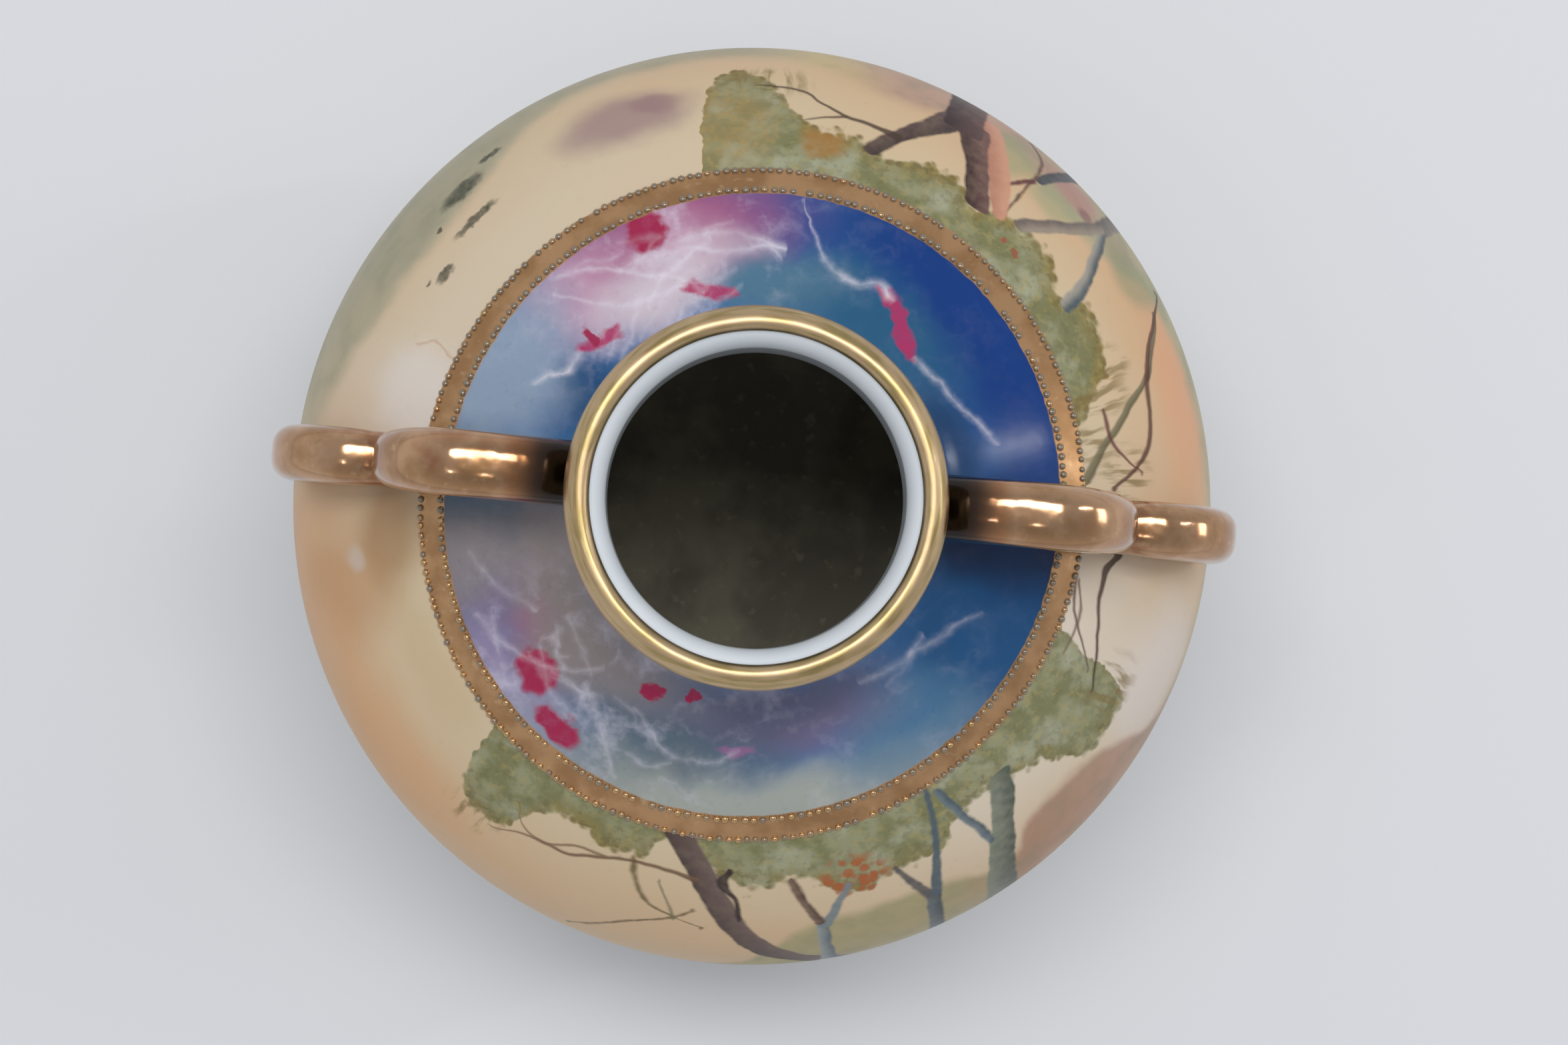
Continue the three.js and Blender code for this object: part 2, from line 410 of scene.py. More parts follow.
# %% Set a row of beads
gilt_side = 245  # degrees: here the gold was brushed over the beads
lost_share = 0.03
bead_lift = 0.12
bead_flatness = 0.72
generator = random.Random(7)


def section_at(walk):
    """The section's point and outward direction at a distance walked along it."""
    point = np.array([np.interp(walk, walked, section[:, axis]) for axis in (0, 1)])
    ahead = np.array([np.interp(walk + 0.5, walked, section[:, axis]) for axis in (0, 1)])
    way = (ahead - point) / np.linalg.norm(ahead - point)
    return point, (way[1], -way[0])


def bead_row(name, below, size, count):
    shape = bmesh.new()
    rubbed = shape.verts.layers.float.new("rubbed")
    for step in range(count):
        azimuth = 2 * math.pi * (step + generator.uniform(-0.12, 0.12)) / count
        lost = generator.random() < lost_share
        radius = size / 2 * generator.uniform(0.86, 1.08)
        wear = 0.6 * generator.random() + 0.4 * max(0, math.cos(azimuth - math.radians(gilt_side)))
        if lost:
            continue
        walk = band_walk - below - wander(azimuth) + generator.uniform(-0.08, 0.08)
        (reach, height), (out, up) = section_at(walk)
        normal = Vector((out * math.cos(azimuth), out * math.sin(azimuth), up))
        place = Vector((reach * math.cos(azimuth), reach * math.sin(azimuth), height))
        seat = Matrix.Translation(place + normal * radius * bead_lift)
        tilt = normal.to_track_quat("Z", "Y").to_matrix().to_4x4()
        dome = Matrix.Diagonal((1, 1, bead_flatness, 1))
        drop = bmesh.ops.create_uvsphere(shape, u_segments=8, v_segments=6, radius=radius,
                                         matrix=seat @ tilt @ dome)
        for vertex in drop["verts"]:
            vertex[rubbed] = wear
    return finished(shape, name, smooth_below=180)


beads = [bead_row("beads_upper", below=-1.45, size=1.02, count=212),
         bead_row("beads_lower", below=1.75, size=0.94, count=230)]

# %% [markdown]
# ## Writing materials as sums
# The painting is worked out by shader nodes, and it takes some hundreds of them. A small class
# wraps a socket, so that a sum in Python adds its Math nodes, and a recipe holds one material and
# adds any other node with one method: its settings first, and then its sockets.


# %% A value on its way between nodes
class Wire:
    """An output socket of a recipe. Sums on it add Math nodes."""

    def __init__(self, recipe, socket):
        self.recipe = recipe
        self.socket = socket

    def math(self, operation, *values, clamp=False):
        settings = {"operation": operation, "use_clamp": clamp}
        return self.recipe.node("ShaderNodeMath", settings, dict(enumerate(values)))

    def __add__(self, other):
        return self.math("ADD", self, other)

    def __sub__(self, other):
        return self.math("SUBTRACT", self, other)

    def __rsub__(self, other):
        return self.math("SUBTRACT", other, self)

    def __mul__(self, other):
        return self.math("MULTIPLY", self, other)

    def __truediv__(self, other):
        return self.math("DIVIDE", self, other)

    def __pow__(self, other):
        return self.math("POWER", self, other)

    def __abs__(self):
        return self.math("ABSOLUTE", self)

    __radd__ = __add__
    __rmul__ = __mul__


def colour(code):
    """A colour as paint charts give it, such as c9b99f, as the shader's linear numbers."""
    parts = [int(code[i:i + 2], 16) / 255 for i in (0, 2, 4)]
    return tuple(p / 12.92 if p < 0.04045 else ((p + 0.055) / 1.055) ** 2.4 for p in parts) + (1,)


print("cream in linear light:", [round(part, 3) for part in colour("c9b99f")[:3]])


# %% A material's recipe
class Recipe:
    """One material: its nodes, and the measures of the vase that its patterns follow."""

    def __init__(self, name):
        self.material = bpy.data.materials.new(name)
        self.material.use_nodes = True
        self.tree = self.material.node_tree
        self.shader = self.tree.nodes["Principled BSDF"]
        metres = self.node("ShaderNodeTexCoord", output="Object")
        self.place = self.node("ShaderNodeVectorMath", {"operation": "SCALE"},
                               {"Vector": metres, "Scale": 1 / MM})
        self.x = self.split(self.place, "X")
        self.y = self.split(self.place, "Y")
        self.reach = (self.x * self.x + self.y * self.y) ** 0.5

    def node(self, kind, settings=None, sockets=None, output=0):
        made = self.tree.nodes.new(kind)
        for name, value in (settings or {}).items():
            if name == "stops":
                self.fill_ramp(made.color_ramp, value)
            elif name == "points":
                self.fill_curve(made.mapping, value)
            else:
                setattr(made, name, value)
        for name, value in (sockets or {}).items():
            self.feed(made.inputs[name], value)
        return Wire(self, made.outputs[output])

    def feed(self, socket, value):
        if isinstance(value, Wire):
            self.tree.links.new(value.socket, socket)
        else:
            socket.default_value = colour(value) if isinstance(value, str) else value

    def fill_ramp(self, ramp, stops):
        for _ in stops[2:]:
            ramp.elements.new(1)
        for element, (place, paint) in zip(ramp.elements, stops):
            element.position = place
            element.color = colour(paint)

    def fill_curve(self, mapping, points):
        mapping.extend = "HORIZONTAL"
        curve = mapping.curves[0]
        for _ in points[2:]:
            curve.points.new(0.5, 0.5)
        for knot, place in zip(curve.points, points):
            knot.location = place
            knot.handle_type = "AUTO_CLAMPED"
        mapping.update()

    def split(self, vector, axis):
        return self.node("ShaderNodeSeparateXYZ", None, {0: vector}, axis)

    def round_the_rim(self):
        """Places drawn out round the vase's axis, for streaks that follow a rim."""
        sockets = {"X": self.reach, "Y": self.x * 0.12, "Z": self.split(self.place, "Z") + self.y * 0.12}
        return self.node("ShaderNodeCombineXYZ", None, sockets)

    def set(self, **values):
        """Sets the shader's own sockets, such as base_color or roughness."""
        for name, value in values.items():
            self.feed(self.shader.inputs[name.replace("_", " ").title()], value)

    def bump(self, height, distance, strength):
        settings = {"Height": height, "Distance": distance * MM, "Strength": strength}
        self.feed(self.shader.inputs["Normal"], self.node("ShaderNodeBump", None, settings))

    def noise(self, size, detail=2.0, place=None, roughness=0.5, output="Fac"):
        """Soft noise whose lumps measure about size millimetres."""
        sockets = {"Vector": place or self.place, "Scale": 1 / size, "Detail": detail,
                   "Roughness": roughness}
        return self.node("ShaderNodeTexNoise", None, sockets, output)

    def cells(self, size):
        """The distance to the nearest of some points that lie about size millimetres apart."""
        sockets = {"Vector": self.place, "Scale": 1 / size}
        return self.node("ShaderNodeTexVoronoi", None, sockets, "Distance")

    def fade(self, value, start, end):
        """0 where the value is at start and 1 where it is at end, with a soft change between."""
        sockets = {"Value": value, "From Min": start, "From Max": end}
        return self.node("ShaderNodeMapRange", {"interpolation_type": "SMOOTHSTEP"}, sockets)

    def mix(self, under, over, share):
        settings = {"data_type": "RGBA", "clamp_factor": True}
        return self.node("ShaderNodeMix", settings, {0: share, 6: under, 7: over}, output=2)

    def layers(self, under, *coats):
        """Mixes coats over a colour, one after the other. A coat is its colour and its share."""
        for over, share in coats:
            under = self.mix(under, over, share)
        return under

    def ramp(self, share, *stops):
        return self.node("ShaderNodeValToRGB", {"stops": stops}, {0: share})


print("recipes ready")

# %% [markdown]
# ## Gilding
# The gold on such ware is a thin fired film. On the handles it is coppery and bright, browned by
# dirt and painted shade where the loop meets the lobe, and nearly black at the neck with painted
# shade and a painted reflection of the dark neck. On the lip it is greener, brushed round the rim,
# and rubbed. A metal with an uneven roughness gives both.


# %% Gold on the handles
def gilded_handles():
    gold = Recipe("gilded_handles")
    film = gold.noise(6, detail=4)
    rub = gold.noise(1.4, detail=3)
    thin = gold.noise(7, detail=3)
    # Browner gold in the crease between loop and lobe: dirt and painted shade.
    notch_dirt_and_shade = gold.fade(abs(gold.reach - notch_radius), 3.4, 0.6)
    tone = gold.layers("c99f7a", ("ab8058", gold.fade(film, 0.35, 0.65)),
                       ("d8b48e", gold.fade(rub, 0.55, 0.8) * 0.5),
                       ("a2603c", gold.fade(thin, 0.55, 0.75) * 0.55),
                       ("8a5330", notch_dirt_and_shade * gold.fade(rub, 0.35, 0.6) * 0.7),
                       # These three coats darken the root towards the neck: painted shade under the lip
                       # and a painted reflection of the dark neck.
                       ("9a6034", gold.fade(gold.reach, 33, 30.5) * 0.6),
                       ("3b281b", gold.fade(gold.reach + film * 2, 32.5, 28.5) * 0.9),
                       ("150f0b", gold.fade(gold.reach, 29, 25.5) * 0.9))
    gold.set(base_color=tone, metallic=1.0, roughness=0.1 + 0.1 * film)
    gold.set(coat_weight=0.5, coat_roughness=0.06)
    gold.bump(gold.noise(4.5, detail=2), 0.22, 0.6)
    return gold.material


# %% Gold on the lip
def gilded_lip():
    gold = Recipe("gilded_lip")
    brushed = gold.noise(5, detail=4)
    streak = gold.noise(0.7, detail=3, place=gold.round_the_rim())
    tone = gold.layers("c4a97a", ("b39868", gold.fade(brushed, 0.35, 0.65)),
                       ("d6b998", gold.fade(streak, 0.4, 0.62) * 0.5),
                       ("988a54", gold.fade(streak, 0.5, 0.36) * 0.45))
    gold.set(base_color=tone, metallic=1.0, roughness=0.26 + 0.22 * streak)
    gold.set(coat_weight=0.25, coat_roughness=0.08)
    gold.bump(streak + gold.noise(2.2) * 0.6, 0.05, 0.4)
    return gold.material


# %% White glaze, darker cavity and bare bisque
def white_glaze():
    glaze = Recipe("white_glaze")
    cloud = glaze.noise(9)
    glaze.set(base_color=glaze.mix("e6eaec", "d9dfe3", cloud), roughness=0.1 + 0.06 * cloud)
    glaze.shader.inputs["Specular IOR Level"].default_value = 0.15
    return glaze.material


# The cavity's grey-tan is far darker than the white glaze: partly painted shade for the closed inside of
# the vase.
def darker_cavity():
    cavity_tone = Recipe("darker_cavity")
    cloud = cavity_tone.noise(13, detail=5)
    fleck = cavity_tone.noise(2.4, detail=3)
    tone = cavity_tone.layers("a09a80", ("7d7663", cavity_tone.fade(cloud, 0.38, 0.62)),
                        ("bdb59a", cavity_tone.fade(fleck, 0.58, 0.75) * 0.5))
    cavity_tone.set(base_color=tone, roughness=0.5 + 0.2 * fleck)
    return cavity_tone.material


def bare_bisque():
    clay = Recipe("bare_bisque")
    grain = clay.noise(0.5, detail=3)
    soil = clay.noise(8, detail=4)
    tone = clay.mix("e4ddcf", "cfc3ae", clay.fade(soil, 0.45, 0.7))
    clay.set(base_color=tone, roughness=0.7 + 0.15 * grain)
    clay.bump(grain, 0.03, 0.5)
    return clay.material


def enamel_beads():
    enamel = Recipe("enamel_beads")
    wear = enamel.node("ShaderNodeAttribute", {"attribute_name": "rubbed"}, output="Fac")
    gold = enamel.fade(wear, 0.4, 0.7)
    tone = enamel.mix("857662", "c09a6a", gold)
    enamel.set(base_color=tone, roughness=0.14 + 0.16 * wear, metallic=0.3 + 0.5 * gold)
    enamel.set(coat_weight=0.6, coat_roughness=0.08)
    return enamel.material


print("plain finishes ready")


# %% [markdown]
# ## Painting by place
# A painter works round the vase, so the painting is laid out in the painter's own measures:
# degrees of turn from the painting's start, and millimetres down the wall from the middle of the
# gilt band. The turn is worked out from Object coordinates, and the way down is the attribute
# that the body was turned with. A brush stroke is a centreline and a half width, each a smooth
# curve through a few knots, and a dab is an ellipse. Noise strays them, as a hand does.


# %% A recipe in the painter's measures
class Painting(Recipe):
    """A recipe that knows the turn round the vase and the way down from the band."""

    def __init__(self, name):
        super().__init__(name)
        self.down = self.node("ShaderNodeAttribute", {"attribute_name": "down"}, output="Fac")
        self.degree = self.reach * math.radians(1)
        angle = self.y.math("ARCTAN2", self.y, self.x) * math.degrees(1)
        self.turn = angle.math("FLOORED_MODULO", angle - painting_start, 360)

    def strayed(self, size, reach, detail=2.0):
        """Turn and way down, moved about by noise: lumps of one size, a reach in millimetres."""
        cloud = self.noise(size, detail, output="Color")
        shift = self.node("ShaderNodeVectorMath", {"operation": "SUBTRACT"}, {0: cloud, 1: (0.5,) * 3})
        aside = self.split(shift, "X") * (2 * reach)
        along = self.split(shift, "Y") * (2 * reach)
        return self.turn + aside / self.degree, self.down + along

    def curve(self, value, points):
        """A smooth curve through (value, result) points, level beyond both ends."""
        starts, results = zip(*points)
        first, span = starts[0], starts[-1] - starts[0]
        least, rise = min(results), max(max(results) - min(results), 1e-6)
        share = value.math("MULTIPLY_ADD", value, 1 / span, -first / span)
        knots = [((x - first) / span, (y - least) / rise) for x, y in points]
        bent = self.node("ShaderNodeFloatCurve", {"points": knots}, {"Value": share})
        return bent.math("MULTIPLY_ADD", bent, rise, least)

    def stroke(self, spot, knots, upright=True, soft=0.3, ragged=0):
        """A brush stroke's share and the millimetres off its centreline. A knot is the way down,
        the turn and half the width, or the turn first for a stroke that runs round the vase."""
        turn, down = spot
        run, place = (down, turn) if upright else (turn, down)
        start, end = knots[0], knots[-1]
        rise, side = abs(end[0] - start[0]), abs(end[1] - start[1])
        square = rise / math.hypot(rise, side)
        tail = 0.9
        halves = [(start[0] - tail, -soft), *((k[0], k[2]) for k in knots), (end[0] + tail, -soft)]
        off = place - self.curve(run, [knot[:2] for knot in knots])
        off = off * self.degree * square if upright else off * square
        inside = self.curve(run, halves) - abs(off) + ragged
        return inside.math("MULTIPLY_ADD", inside, 1 / soft, 0.5, clamp=True), off

    def dab(self, spot, turn, down, wide, tall, soft=0.4):
        """An elliptical dab, wide in degrees and tall in millimetres."""
        across = (spot[0] - turn) / wide
        if min(turn, 360 - turn) < 2 * wide:
            across = across.math("WRAP", across, 180 / wide, -180 / wide)
        along = (spot[1] - down) / tall
        return self.fade((across * across + along * along) ** 0.5, 1 + soft / 2, 1 - soft / 2)

    def dabbed(self, picture, spot, marks, soft):
        """Mixes dabs over a picture. A mark is its colour, its place, its size and its share."""
        for tone, turn, down, wide, tall, share in marks:
            picture = self.mix(picture, tone, self.dab(spot, turn, down, wide, tall, soft) * share)
        return picture

    def gild(self, picture, rough, gloss, also=0):
        """Lays the gilt band, and whatever else is gilt, over a picture and sets the shader."""
        ragged = self.noise(1.6, detail=3)
        worn = self.noise(5, detail=4)
        edge = abs(self.down) + (ragged - 0.5) * 0.5
        gilt = self.fade(edge, band_width / 2 + 0.12, band_width / 2 - 0.12)
        gilt = gilt.math("MAXIMUM", gilt, also)
        tone = self.layers("c59a70", ("a98058", self.fade(worn, 0.35, 0.65)),
                           ("dcb890", self.fade(ragged, 0.6, 0.8) * 0.6))
        self.set(base_color=self.mix(picture, tone, gilt), metallic=gilt * 0.85,
                 roughness=rough + gilt * (0.16 + 0.3 * worn - rough))
        self.shader.inputs["Specular IOR Level"].default_value = gloss
        return gilt


band_width = 4.1
print("the belly is about", round(2 * math.pi * belly_radius), "mm round")

# %% [markdown]
# ## The landscape
# Sky, hills, foliage and trees were painted in thin enamel washes, from far to near. The layers
# below follow that order, each mixed over the last by its own share.

# %% Where things stand in the landscape
# Turn in degrees, and millimetres down from the band. A smudge is its colour, its place, its
# width in degrees and height in millimetres, and its share.
hill_tops = [(0, 32), (5, 30), (27, 28), (33, 22), (42, 20), (52, 23), (60, 24), (70, 21), (80, 24),
             (90, 27), (110, 27), (125, 22), (142, 17.5), (160, 21), (175, 29), (190, 40), (220, 40),
             (250, 38), (262, 36), (272, 26), (280, 19), (290, 18), (300, 21), (305, 24), (309, 20),
             (315, 17.5), (322, 19), (328, 25), (340, 33), (360, 32)]
canopy_depths = [(0, -4), (9, -2), (13, 3), (18, 6.5), (22, 10.5), (28, 12), (31, 11.5), (34, 8.5),
                 (37, 10), (42, 12), (46, 11.5), (50, 10.5), (53, 8), (58, 10.5), (64, 10), (70, 8.5),
                 (74, 10.2), (80, 10), (84, 14), (88, 19.5), (92, 22.5), (95, 20.5), (97.5, 13),
                 (99, 3), (101, -5), (218, -5)]
canopy_depths_left = [(218, -5), (221.5, 6), (224, 13.5), (229, 16), (232, 15), (234.5, 9.5),
                      (237, 7.5), (241, 6.5), (247, 8), (252, 7.5), (256, 4), (262, 7), (266, 8.5),
                      (270, 11), (276, 9.5), (281, 12), (286, 14.5), (291, 13), (298, 13), (303, 9),
                      (309, 8.5), (314, 10), (318, 11.5), (321, 15.5), (325, 19.5), (331, 19.5),
                      (334, 14), (336, 7), (339, 0), (343, -4), (360, -4)]
tufts = [(4.5, 9.5, 4, 4.5), (10, 4, 3, 3), (16.5, 7, 2.6, 5), (21, 10.5, 2.5, 3.5), (88, 20, 5, 3.5),
         (333, 15, 4, 4), (228, 17, 4, 3)]
dark_dabs = [(133, 21.3, 3.4, 1.7), (134.5, 14.2, 3.8, 0.8), (143.5, 11.4, 1.7, 0.9),
             (139, 18.2, 0.5, 0.5), (146.2, 12.9, 0.4, 0.4), (127, 24, 1.6, 0.6)]
# The pale smudge at 163 degrees is a painted sheen beside the left handle.
smudges_and_sheen = [("a07850", 184, 7, 8, 6, 0.7), ("b5865a", 191, 17, 8, 9, 0.5),
           ("c9c2bc", 186, 15, 2, 2, 0.5), ("d2a070", 214, 22, 14, 7, 0.45),
           ("bf9f74", 206, 6, 12, 3, 0.3), ("dfa27c", 14, 26, 11, 6, 0.5),
           ("ddd5cf", 163, 6, 7, 6, 0.6), ("d9d2cf", 336, 24, 9, 9, 0.6)]
hill_smudges = [("8f9a72", 53.5, 23, 3, 6, 0.6), ("99a07c", 45.6, 21.6, 4, 4, 0.6),
                ("b27c7a", 44, 27.5, 5, 4, 0.6), ("7a4a55", 41, 24.5, 1.8, 1.6, 0.6),
                ("a08a76", 34.6, 27, 4, 5, 0.5), ("8f9270", 30, 26, 4, 5, 0.6)]
berries = [("9c5240", 43.8, 6.4, 0.62, 0.55, 0.8), ("9c5240", 46.1, 6.9, 0.62, 0.55, 0.8)]
lake_edge = (50, 52.5)
meadow_edge = (60, 64)
bare_edge = (84, 97)
print(len(hill_tops) + len(canopy_depths) + len(canopy_depths_left), "points outline hills and trees")

# %% Trees and branches
# Each is its knots, then its lit side's colour and its shaded side's.
trunks = [
    ([(26, 38.2, 1.3), (33, 38, 1.5), (50, 37, 1.9), (66, 36, 2.8)], "867c72", "5d5651"),
    ([(8, 32.3, 1.0), (13, 33.3, 1.0), (19, 35.8, 0.95), (26, 38, 0.9)], "505c61", "9b968d"),
    ([(11, 46, 1.2), (15, 43.3, 1.1), (20, 40.5, 1.0), (26, 38.3, 0.9)], "968a7b", "706560"),
    ([(22, 48.6, 0.8), (27, 47.2, 0.95), (36, 45.5, 1.2), (62, 44, 1.9)], "4f565b", "3d3e43"),
    ([(10.5, 49.3, 0.2), (18, 49.2, 0.25), (25, 49.4, 0.3), (33, 52.5, 0.4)], "744c3c", "67594d"),
    ([(15, 52, 0.35), (18, 50.4, 0.4), (20.5, 49, 0.3)], "663e3c", "663e3c"),
    ([(9.5, 49.8, 1.0), (14, 52, 1.6), (20, 55, 1.8), (28, 58.5, 1.8)], "cb957a", "b67e68"),
    ([(8.5, 53.3, 1.8), (13, 55.5, 1.8), (18, 58, 2.0), (24, 60, 2.5)], "6b4f4a", "3f2e2e"),
    ([(8.5, 71.5, 1.0), (11, 70, 1.2), (14, 67.5, 1.3), (18, 64.5, 1.7), (24, 61.5, 2.2)],
     "403434", "594843"),
    ([(21, 60.8, 2.9), (30, 61.5, 2.9), (45, 62, 3.2), (60, 61, 3.8), (74, 60, 5.6)],
     "5e4643", "35282a"),
    ([(2.2, 257.5, 2.0), (6, 260.5, 1.9), (12, 264, 1.8), (20, 268, 1.9), (27, 272.5, 2.2),
      (33, 278, 2.5), (45, 285, 2.9), (60, 290, 3.6), (74, 292, 5.4)], "423532", "715e59"),
    ([(7.5, 266, 0.5), (9, 265.3, 0.7), (13, 267.3, 0.4), (17, 268, 0.3)], "3b302f", "3b302f"),
    ([(20, 279.3, 0.8), (26, 279.4, 0.9), (34, 279.5, 1.1), (67, 280, 1.7)], "969b99", "59666c"),
    ([(12.5, 283.8, 0.5), (16, 281.6, 0.6), (20, 279.8, 0.8)], "788183", "788183"),
    ([(9.5, 275.6, 0.55), (14, 277.2, 0.6), (19, 279, 0.7)], "745d4f", "5c473d"),
    ([(21, 294.7, 1.1), (27, 294, 1.1), (34, 293.7, 1.2), (66, 293, 1.8)], "616b6f", "424a4f"),
    ([(12.5, 291.2, 0.4), (17, 292.9, 0.6), (21, 294.3, 0.8)], "5d5957", "5d5957"),
    ([(2.5, 300.6, 0.35), (8, 299.2, 0.45), (14, 297.2, 0.6), (21, 295.2, 0.9)], "515e66", "515e66"),
    ([(8, 312, 1.9), (13, 309.3, 2.0), (19, 306.3, 2.1), (27, 303.8, 2.4), (34, 303, 2.6),
      (50, 302, 3), (72, 301, 4.8)], "808676", "4c5449"),
    ([(3.5, 302.4, 0.6), (9, 303.6, 0.65), (13, 304.6, 0.7), (17, 305.2, 0.5)], "68767e", "505d65"),
    ([(8, 251.3, 0.3), (12, 252.5, 0.3), (15.5, 254.8, 0.3), (17.2, 257.5, 0.28), (19.5, 263, 0.2)],
     "7b6b4a", "7b6b4a"),
    ([(16, 261.5, 0.25), (19, 257.3, 0.28), (21, 254, 0.25), (24.5, 250.5, 0.2), (30, 246, 0.15)],
     "7b664a", "7b664a"),
    ([(11, 255.8, 0.12), (15, 257.8, 0.2), (18, 258.9, 0.22)], "746f52", "746f52"),
]
branches = [
    ([(3.5, 2.2, 0.6), (8, 5, 0.6), (12, 9.2, 0.6), (15.5, 13.5, 0.65), (18, 17.5, 0.6),
      (21, 21, 0.45), (25, 26, 0.4)], "787156", "5d573c"),
    ([(2.5, 7.2, 0.4), (4.5, 10.5, 0.4), (8, 14.2, 0.4), (12, 15.8, 0.35), (17, 17, 0.4),
      (20.5, 19.5, 0.5), (24, 24, 0.5), (27.5, 32, 0.5)], "664034", "4f372f"),
    ([(4.5, 12.5, 0.2), (7, 9.3, 0.3), (10.5, 7.3, 0.3), (14.3, 7, 0.25)], "663c39", "663c39"),
    ([(68.5, 12.6, 0.7), (72, 13.2, 0.4), (76, 13.5, 0.32), (80, 15.3, 0.28), (84, 17.8, 0.25),
      (89.5, 18.6, 0.1)], "4c3b32", "4c3b32"),
    ([(77, 13.6, 0.25), (80, 12.3, 0.2), (82.5, 11.4, 0.05)], "5a4736", "5a4736"),
    ([(231, 16.5, 0.1), (236, 13.2, 0.2), (242, 12, 0.28), (246, 10.2, 0.32), (251, 8.6, 0.32),
      (256, 8.4, 0.35), (261, 9.4, 0.45)], "785b45", "664a39"),
    ([(232, 9, 0.1), (237, 12.8, 0.2), (243, 9.9, 0.25), (247, 9.6, 0.2)], "81664d", "81664d"),
    ([(331, 12, 0.15), (335, 10.2, 0.25), (340, 8.2, 0.28), (344, 6.8, 0.32), (348, 6.6, 0.5),
      (351.5, 8.5, 0.8)], "4d362f", "3e2c27"),
    ([(333.5, 9.6, 0.1), (337, 6.4, 0.2), (340, 4, 0.22), (344, 2.4, 0.22), (350, 1.6, 0.28)],
     "594339", "594339"),
    ([(334, 4.3, 0.12), (340, 4.4, 0.2), (346, 2.6, 0.22)], "74604d", "74604d"),
]
print(len(trunks), "trunks and stems,", len(branches), "branches")


# %% Sky and hills
def sky_and_hills(paint):
    spot = paint.strayed(16, 5)
    turn, down = spot
    haze = paint.noise(22, detail=3)
    warmth = paint.curve(turn, [(0, 0.7), (28, 0.75), (60, 0.55), (110, 0.3), (150, 0.2), (172, 0.4),
                                (195, 0.85), (220, 0.55), (250, 0.45), (300, 0.35), (335, 0.15),
                                (352, 0.5), (360, 0.7)])
    # Paler sky near the band; its peak at 166 degrees is a painted sheen beside the left handle.
    paleness_and_sheen = paint.curve(turn, [(0, 0.3), (40, 0.1), (110, 0.35), (150, 0.5), (166, 0.9),
                                  (178, 0.2), (240, 0.15), (290, 0.4), (335, 0.95), (350, 0.6),
                                  (360, 0.3)])
    low_sky = paint.fade(down, 3, 26)
    picture = paint.layers("cdb894", ("d2a277", warmth * low_sky + (haze - 0.5) * 0.5),
                           ("dad0c5", paleness_and_sheen * (0.75 - 0.5 * low_sky)))
    picture = paint.dabbed(picture, spot, smudges_and_sheen, 1.2)
    top_line = paint.curve(paint.turn, hill_tops) + (paint.noise(7, detail=3) - 0.5) * 4
    firm = paint.curve(paint.turn, [(0, 0.5), (60, 0.85), (86, 0.6), (105, 0.6), (145, 0.75),
                                    (170, 0.45), (220, 0.3), (255, 0.4), (268, 0.9), (330, 0.85),
                                    (342, 0.35), (360, 0.5)])
    depth = paint.down - top_line
    hill = paint.fade(depth, firm * 3 - 4, 6 - firm * 4.5)
    slope = paint.ramp(turn / 360, (0, "a3a68a"), (0.1, "a0a585"), (0.155, "b08f80"), (0.2, "b39080"),
                       (0.225, "c4b27c"), (0.25, "96967e"), (0.4, "8f927c"), (0.53, "b3aa86"),
                       (0.65, "a39c84"), (0.74, "a39c6c"), (0.83, "9a9068"), (0.855, "a0745a"),
                       (0.915, "a88270"), (0.96, "a89a80"), (1, "a3a68a"))
    wash = paint.noise(5, detail=4)
    slope = paint.layers(slope, ("7c7f66", paint.fade(wash, 0.45, 0.7) * 0.35),
                         ("d9c6a6", paint.fade(depth, 12, 30) * 0.6))
    picture = paint.mix(picture, slope, hill * (0.6 + 0.35 * wash) * (0.5 + 0.6 * firm))
    return paint.dabbed(picture, spot, hill_smudges, 0.9)


# %% Lake, meadow and foot, round the part that turns under
def lower_ground(paint, picture):
    _, down = paint.strayed(14, 4)
    lake = paint.mix("b9b5b8", "d8c3ae", paint.fade(paint.noise(9, detail=4), 0.4, 0.62))
    grass = paint.fade(paint.noise(3.5, detail=4), 0.42, 0.62)
    earth = paint.fade(paint.noise(11, detail=3), 0.5, 0.68)
    leaves = paint.fade(paint.cells(2.4), 0.45, 0.2) * paint.fade(paint.noise(8), 0.5, 0.6)
    meadow = paint.layers("a39a68", ("7a7650", grass), ("a87a4c", earth * 0.6), ("5a5c40", leaves * 0.6))
    picture = paint.layers(picture, (lake, paint.fade(down, *lake_edge) * 0.85),
                           (meadow, paint.fade(down, *meadow_edge)),
                           ("d8c6a4", paint.fade(down, *bare_edge)))
    return picture, paint.fade(abs(paint.down - foot_line_down), 0.75, 0.45)


